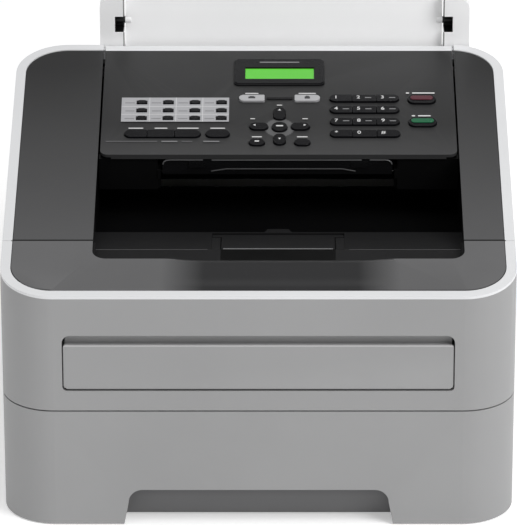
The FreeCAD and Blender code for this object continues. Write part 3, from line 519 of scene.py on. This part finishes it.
def lit_display(name, colour, glow):
    """Backlit display: a faint dot grid and cloudy, uneven brightness."""
    look = Look(name)
    place = look.place()
    dots = look.node("TexBrick", {"offset": 0.0}, {
        "Vector": place, "Scale": 620.0, "Color1": (1, 1, 1, 1), "Color2": (0.94, 0.94, 0.94, 1),
        "Mortar": (0.72, 0.72, 0.72, 1), "Mortar Size": 0.05, "Brick Width": 0.5, "Row Height": 0.5})
    cloud = look.noise(28.0, 2.0)
    level = look.ramp(cloud, ((0.3, 0.78), (0.7, 1.0)))
    shade = look.mix(dots, tint(colour, 0.80), tint(colour, 1.0))
    shade = look.mix(level, tint(colour, 0.74), shade)
    look.shade({
        "Base Color": shade,
        "Emission Color": shade,
        "Emission Strength": glow,
        "Roughness": 0.16 + cloud * 0.08,
        "Normal": look.bump(dots, 0.05, 0.00005),
    })
    return look.material


dress("lcd_window", lit_display("lit_green", (0.070, 0.40, 0.022), 0.42), 0.0)


# Printed and inlaid marks of the panel: the pale index card round the one-touch
# keys, coloured caps on the stop and start keys, plain bars for lettering and
# figures on the dial keys.
def sheet_piece(name, polygons, lower, upper, material, body, place=panel_point, soften=0.0):
    """One mesh of thin slabs: each polygon is (across, up) corners in millimetres."""
    mesh = bmesh.new()
    for polygon in polygons:
        under = [mesh.verts.new(place(x, up, lower)) for x, up in polygon]
        over = [mesh.verts.new(place(x, up, upper)) for x, up in polygon]
        mesh.faces.new(over)
        mesh.faces.new(under[::-1])
        for index in range(len(polygon)):
            after = (index + 1) % len(polygon)
            mesh.faces.new((under[index], under[after], over[after], over[index]))
    data = bpy.data.meshes.new(name)
    mesh.to_mesh(data)
    mesh.free()
    data.materials.append(material)
    made = bpy.data.objects.new(name, data)
    bpy.context.collection.objects.link(made)
    if soften > 0:
        edge = made.modifiers.new("edge", "BEVEL")
        edge.width = soften
        edge.segments = 3
        edge.limit_method = "ANGLE"
        edge.angle_limit = math.radians(50)
        made.modifiers.new("even", "WEIGHTED_NORMAL").keep_sharp = True
    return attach(made, body)


def oblong(left, right, near, far, radius=0.0, steps=5):
    """Corners of a rectangle with round ends, anticlockwise."""
    if radius == 0:
        return [(left, near), (right, near), (right, far), (left, far)]
    centres = [(right - radius, near + radius, -90), (right - radius, far - radius, 0),
               (left + radius, far - radius, 90), (left + radius, near + radius, 180)]
    corners = []
    for x, up, start in centres:
        for step in range(steps + 1):
            turn = math.radians(start + 90.0 * step / steps)
            corners.append((x + radius * math.cos(turn), up + radius * math.sin(turn)))
    return corners


def middle(node):
    """Middle of a key in panel millimetres: across and up the slope."""
    low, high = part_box(node)
    x, y = (low.x + high.x) / 2, (low.y + high.y) / 2
    top = (high.z + low.z) / 2 - TOP_FRONT_Z
    up = (y - cad_low.y) * math.cos(SLOPE) + top * math.sin(SLOPE)
    return x * 1000 - PANEL_MIDDLE, up * 1000


PRINT = 0.08
card_pale = moulded("card_pale", (0.37, 0.37, 0.385), 0.50, 0.0005, 0.03, 1.05)
ink_white = moulded("ink_white", (0.62, 0.62, 0.62), 0.50, 0.0004, 0.03, 1.05)
ink_grey = moulded("ink_grey", (0.20, 0.20, 0.205), 0.50, 0.0004, 0.03, 1.05)
ink_dark = moulded("ink_dark", (0.030, 0.030, 0.034), 0.50, 0.0004, 0.05, 1.1)
ONE_TOUCH_ACROSS = (-102.4, -82.6, -62.7, -42.9)
ONE_TOUCH_UP = (235.8, 246.5, 257.8)
CARD = (-117.6, -37.2, 231.0, 264.6)
KEY_HALF = (4.1, 2.75)
key_sides = [x + side for x in ONE_TOUCH_ACROSS for side in (-KEY_HALF[0], KEY_HALF[0])]
key_edges = [up + side for up in ONE_TOUCH_UP for side in (-KEY_HALF[1], KEY_HALF[1])]
columns = [CARD[0], *key_sides, CARD[1]]
rows = [CARD[2], *key_edges, CARD[3]]
cells = [oblong(columns[i], columns[i + 1], rows[j], rows[j + 1])
         for i in range(9) for j in range(7) if i % 2 == 0 or j % 2 == 0]
sheet_piece("index_card", cells, 0.0, PRINT, card_pale, "panel")
lines = [oblong(x + 5.6, x + 6.0, CARD[2], CARD[3]) for x in ONE_TOUCH_ACROSS[:3]]
lines += [oblong(CARD[0], CARD[1], up, up + 0.5) for up in (240.9, 251.9)]
sheet_piece("index_rules", lines, PRINT, PRINT + 0.04, ink_white, "panel")
fields = [oblong(x - 12.6 + 0.4 * (row % 2), x - 5.4, up - 1.2, up - 0.1)
          for x in ONE_TOUCH_ACROSS for row, up in enumerate(ONE_TOUCH_UP)]
sheet_piece("index_fields", fields, PRINT, PRINT + 0.04, ink_grey, "panel")

LABELS = {
    "key_hook": 11.0, "key_redial": 9.5, "key_resolution": 16.0, "key_options": 11.0,
    "key_clear": 7.5, "key_menu": 8.0, "mode_fax": 10.0, "mode_copy": 13.0,
}
labels = []
for key, width in LABELS.items():
    x, up = middle(key)
    gap = 6.2 if key.startswith("mode") else 7.0
    labels.append(oblong(x - width / 2, x + width / 2, up + gap, up + gap + 1.3, 0.5))
for x, up, width in ((0.5, 254.0, 4.0), (-19.5, 235.0, 3.6), (19.5, 235.0, 4.0)):
    labels.append(oblong(x - width / 2, x + width / 2, up - 0.5, up + 0.6, 0.4))
for key, width in (("key_stop", 17.0), ("key_start", 9.5)):
    x, up = middle(key)
    labels.append(oblong(x - width / 2 + 1.5, x + width / 2 + 1.5, up + 8.2, up + 9.8, 0.6))
    labels.append(oblong(x - width / 2 - 3.2, x - width / 2 - 0.6, up + 8.1, up + 9.9, 0.9))
sheet_piece("label_bars", labels, 0.0, PRINT, ink_white, "panel")
underlines = [oblong(-128.0, -90.0, 203.6, 204.1), oblong(-72.0, -64.0, 203.6, 204.1)]
underlines += [oblong(-87.0, -75.0, 203.0, 204.4, 0.5), oblong(-56.0, -44.0, 203.0, 204.4, 0.5)]
sheet_piece("group_rules", underlines, 0.0, PRINT, ink_grey, "panel")
fax_high, copy_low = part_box("mode_fax")[1].x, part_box("mode_copy")[0].x
BAR_GAP = 0.6
bar_left = fax_high * 1000 - PANEL_MIDDLE + BAR_GAP
bar_right = copy_low * 1000 - PANEL_MIDDLE - BAR_GAP
mode_bar = oblong(bar_left, bar_right, 262.3, 265.0)
sheet_piece("mode_bar", [mode_bar], 0.0, 0.2, bezel_black, "panel")
sheet_piece("bezel_bar", [oblong(-14.5, 15.5, 312.2, 313.6, 0.5)], 1.4, 1.4 + PRINT, ink_grey, "panel")

KEY_TOP = 1.0
for key, finish in (("key_stop", key_maroon), ("key_start", key_green)):
    x, up = middle(key)
    cap = oblong(x - 8.4, x + 8.4, up - 2.2, up + 3.4, 2.4, 8)
    sheet_piece(key + "_cap", [cap], KEY_TOP - 0.1, KEY_TOP + 0.6, finish, key + "_body", soften=0.0004)
for key, icon in (("mode_fax", (2.6, 1.6)), ("mode_copy", (2.0, 2.0))):
    x, up = middle(key)
    frame_bars = [oblong(x - icon[0], x + icon[0], up - icon[1], up + icon[1] * 0.5, 0.3)]
    lid = icon[0] * 0.6
    frame_bars.append(oblong(x - lid, x + lid, up + icon[1] * 0.6, up + icon[1], 0.1))
    sheet_piece(key + "_icon", frame_bars, KEY_TOP, KEY_TOP + PRINT, ink_dark, key + "_body")
for key, width in (("key_ok", 5.4), ("key_clear", 3.4)):
    x, up = middle(key)
    mark = oblong(x - width / 2, x + width / 2, up - 0.5, up + 1.1, 0.6)
    sheet_piece(key + "_mark", [mark], KEY_TOP, KEY_TOP + PRINT, ink_white, key + "_body")
ARROWS = {
    "nav_up": (0.0, 4.0, 0), "nav_down": (0.0, 0.0, 180),
    "nav_left": (-3.0, 0.6, 90), "nav_right": (3.0, 0.6, 270),
}
for key, (shift_x, shift_up, turn) in ARROWS.items():
    x, up = middle(key)
    tips = [(x + shift_x + 1.3 * math.cos(math.radians(turn + corner)),
             up + shift_up + 1.5 * math.sin(math.radians(turn + corner))) for corner in (90, 210, 330)]
    sheet_piece(key + "_arrow", [tips], KEY_TOP, KEY_TOP + PRINT, ink_white, key + "_body")


def numeral(mark, key, across, up, size):
    """A generic dial figure, cut as a thin raised mesh on top of its key."""
    curve = bpy.data.curves.new("figure", "FONT")
    curve.body = mark
    curve.size = size * 0.001
    curve.extrude = 0.00004
    curve.offset = 0.00007
    curve.align_x = "CENTER"
    curve.align_y = "CENTER"
    figure = bpy.data.objects.new("figure", curve)
    bpy.context.collection.objects.link(figure)
    bpy.context.view_layer.update()
    data = bpy.data.meshes.new_from_object(figure.evaluated_get(bpy.context.evaluated_depsgraph_get()))
    bpy.data.objects.remove(figure)
    data.name = key + "_figure"
    data.materials.clear()
    data.materials.append(ink_white)
    made = bpy.data.objects.new(key + "_figure", data)
    bpy.context.collection.objects.link(made)
    made.location = panel_point(across, up, KEY_TOP + 0.04)
    made.rotation_euler = (SLOPE, 0.0, 0.0)
    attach(made, key + "_body")


DIAL = {"star": "*", "hash": "#"}
DIAL_LEFTS = (38.0, 54.8, 72.8)
for index, mark in enumerate("1 2 3 4 5 6 7 8 9 star 0 hash".split()):
    left = DIAL_LEFTS[index % 3]
    x, up = middle("dial_" + mark)
    numeral(DIAL.get(mark, mark), "dial_" + mark, left + 4.7, up + 0.4, 5.6)
    if 0 < index < 9:
        letters = oblong(left + 9.6, left + 14.4, up - 0.7, up + 0.4, 0.4)
        sheet_piece("dial_" + mark + "_letters", [letters], KEY_TOP, KEY_TOP + PRINT, ink_grey,
                    "dial_" + mark + "_body")


# Bright edges of the dark flaps: round beads for the moulded edges of the flap of the output tray, the
# document exit flap and the front band, coloured paler than the black round them as a painted highlight.
# The fillers and the tongue of the recess floor are here too.
def bead(name, points, radius, material, body):
    """A thin round bead laid along points, as a bevelled curve turned to mesh."""
    curve = bpy.data.curves.new(name, "CURVE")
    curve.dimensions = "3D"
    curve.bevel_depth = radius
    curve.bevel_resolution = 2
    curve.use_fill_caps = True
    spline = curve.splines.new("POLY")
    spline.points.add(len(points) - 1)
    for spot, point in zip(spline.points, points):
        spot.co = (point[0], point[1], point[2], 1.0)
    holder = bpy.data.objects.new(name, curve)
    bpy.context.collection.objects.link(holder)
    bpy.context.view_layer.update()
    data = bpy.data.meshes.new_from_object(holder.evaluated_get(bpy.context.evaluated_depsgraph_get()))
    bpy.data.objects.remove(holder)
    data.name = name
    data.materials.clear()
    data.materials.append(material)
    made = bpy.data.objects.new(name, data)
    bpy.context.collection.objects.link(made)
    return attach(made, body)


# Painted highlight: the beads are paler than the black edges they sit on.
bead_highlight = moulded("bead_highlight", (0.095, 0.095, 0.097), 0.28, 0.0005, 0.05, 1.4)
bead_soft_highlight = moulded("bead_soft_highlight", (0.045, 0.045, 0.046), 0.35, 0.0005, 0.05, 1.4, shine=0.3)
flap_low, flap_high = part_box("output_flap")
flap_line = (flap_low.y + 0.0004, flap_high.z)
FLAP_RADIUS, BAND_RADIUS, EXIT_RADIUS = 0.0009, 0.0004, 0.0006
bead("flap_bead", [(-0.0255, *flap_line), (0.0535, *flap_line)], FLAP_RADIUS, bead_highlight, "page_flap")
FLOOR_SLOPE = math.radians(10)
BAND_REAR = 73.9
FLOOR_TOP_Z = 0.184


def floor_point(across, depth, above=0.0):
    """A point over the sloping recess floor, in millimetres."""
    drop = math.tan(FLOOR_SLOPE) * (depth - BAND_REAR)
    return Vector((across * 0.001, cad_low.y + depth * 0.001, FLOOR_TOP_Z + (above - drop) * 0.001))


for side, left, right in (("left", -118.0, -36.8), ("right", 64.8, 146.5)):
    bead("band_bead_" + side, [floor_point(left, BAND_REAR), floor_point(right, BAND_REAR)],
         BAND_RADIUS, bead_soft_highlight, "machine")
fillers = [oblong(left, left + 6.2, 75.8, 109.0) for left in (-33.9, 55.7)]
sheet_piece("well_fillers", fillers, -2.4, -0.05, flap_black, "machine", place=floor_point)
tongue = [(3.5, 123.0), (24.5, 123.0), (21.5, 134.0), (6.5, 134.0)]
sheet_piece("paper_tongue", [tongue], -0.6, 0.1, flap_black, "machine", place=floor_point)

EXIT_FACE = 187.0
exit_lines = {
    "left": [(-71.0, -9.2), (-70.4, -7.2), (-68.6, -5.9), (-66.0, -5.5), (-41.5, -5.5)],
    "middle": [(-35.0, -5.6), (75.5, -5.6)],
    "right": [(81.5, -5.5), (92.6, -5.5), (95.2, -5.9), (97.1, -7.2), (97.8, -9.2)],
    "lower": [(-35.5, -15.4), (-24.0, -13.4), (61.0, -13.4), (71.0, -15.4)],
}
for part, line in exit_lines.items():
    points = [top_point(x, EXIT_FACE, height) for x, height in line]
    gloss = bead_soft_highlight if part == "lower" else bead_highlight
    bead("exit_bead_" + part, points, EXIT_RADIUS, gloss, "doc_flap")


# Studio: a wide pale floor that glows a little, three soft boxes, a white world
# and the camera.
FLOOR_GLOW = 0.32
AIR_GLOW = 0.38


def wide_floor():
    """Pale seamless paper, one flat sheet."""
    mesh = bmesh.new()
    marks = (-14.0, -4.0, 0.0, 4.0, 14.0)
    rows = [[mesh.verts.new((x, y, 0.0)) for x in marks] for y in marks]
    for near, far in zip(rows, rows[1:]):
        for index in range(4):
            mesh.faces.new((near[index], near[index + 1], far[index + 1], far[index]))
    data = bpy.data.meshes.new("studio_floor")
    mesh.to_mesh(data)
    mesh.free()
    floor = bpy.data.objects.new("studio_floor", data)
    bpy.context.collection.objects.link(floor)
    look = Look("studio_paper")
    weave = look.noise(260.0, 4.0)
    cloud = look.noise(0.8, 2.0)
    look.shade({
        "Base Color": look.mix(cloud, (0.90, 0.90, 0.905, 1), (0.94, 0.94, 0.94, 1)),
        "Roughness": 0.85 + (weave - 0.5) * 0.1,
        "Emission Color": (1.0, 1.0, 1.0, 1.0),
        "Emission Strength": FLOOR_GLOW,
        "Normal": look.bump(weave, 0.05, 0.0002),
    })
    data.materials.append(look.material)
    return floor


wide_floor()


def soft_box(name, place, aim, size, power, tone=(1.0, 1.0, 1.0)):
    """Rectangular soft light pointed at a spot."""
    data = bpy.data.lights.new(name, "AREA")
    data.shape = "RECTANGLE"
    data.size, data.size_y = size
    data.energy = power
    data.color = tone
    lamp = bpy.data.objects.new(name, data)
    lamp.location = place
    lamp.rotation_euler = (Vector(aim) - Vector(place)).to_track_quat("-Z", "Y").to_euler()
    bpy.context.collection.objects.link(lamp)


MIDDLE = (0.0, 0.0, 0.15)
KEY_WATTS, FILL_WATTS, TOP_WATTS = 38.5, 1.5, 20.0
COOL = (0.96, 0.98, 1.0)
soft_box("key_light", (1.6, -1.3, 1.9), MIDDLE, (1.4, 1.4), KEY_WATTS)
soft_box("fill_light", (-2.2, -1.2, 1.4), MIDDLE, (1.6, 1.6), FILL_WATTS, COOL)
soft_box("top_light", (0.0, -0.4, 2.4), MIDDLE, (2.4, 1.4), TOP_WATTS)
world = bpy.data.worlds.new("studio_air")
world.use_nodes = True
world.node_tree.nodes["Background"].inputs["Color"].default_value = (1.0, 1.0, 1.0, 1.0)
world.node_tree.nodes["Background"].inputs["Strength"].default_value = AIR_GLOW
bpy.context.scene.world = world
bpy.context.scene.view_settings.view_transform = "Standard"

CAMERA_PITCH = 24.7
CAMERA_AIM = (0.0157, -0.030, 0.120)
CAMERA_DISTANCE = 3.677
lens = bpy.data.cameras.new("studio_camera")
lens.sensor_width = 36.0
lens.lens = 341.6
lens.shift_x = -0.0419
lens.shift_y = 0.0456
camera = bpy.data.objects.new("studio_camera", lens)
pitch = math.radians(CAMERA_PITCH)
camera.location = (
    CAMERA_AIM[0],
    CAMERA_AIM[1] - CAMERA_DISTANCE * math.cos(pitch),
    CAMERA_AIM[2] + CAMERA_DISTANCE * math.sin(pitch),
)
camera.rotation_euler = (math.radians(90) - pitch, 0.0, 0.0)
bpy.context.collection.objects.link(camera)
bpy.context.scene.camera = camera
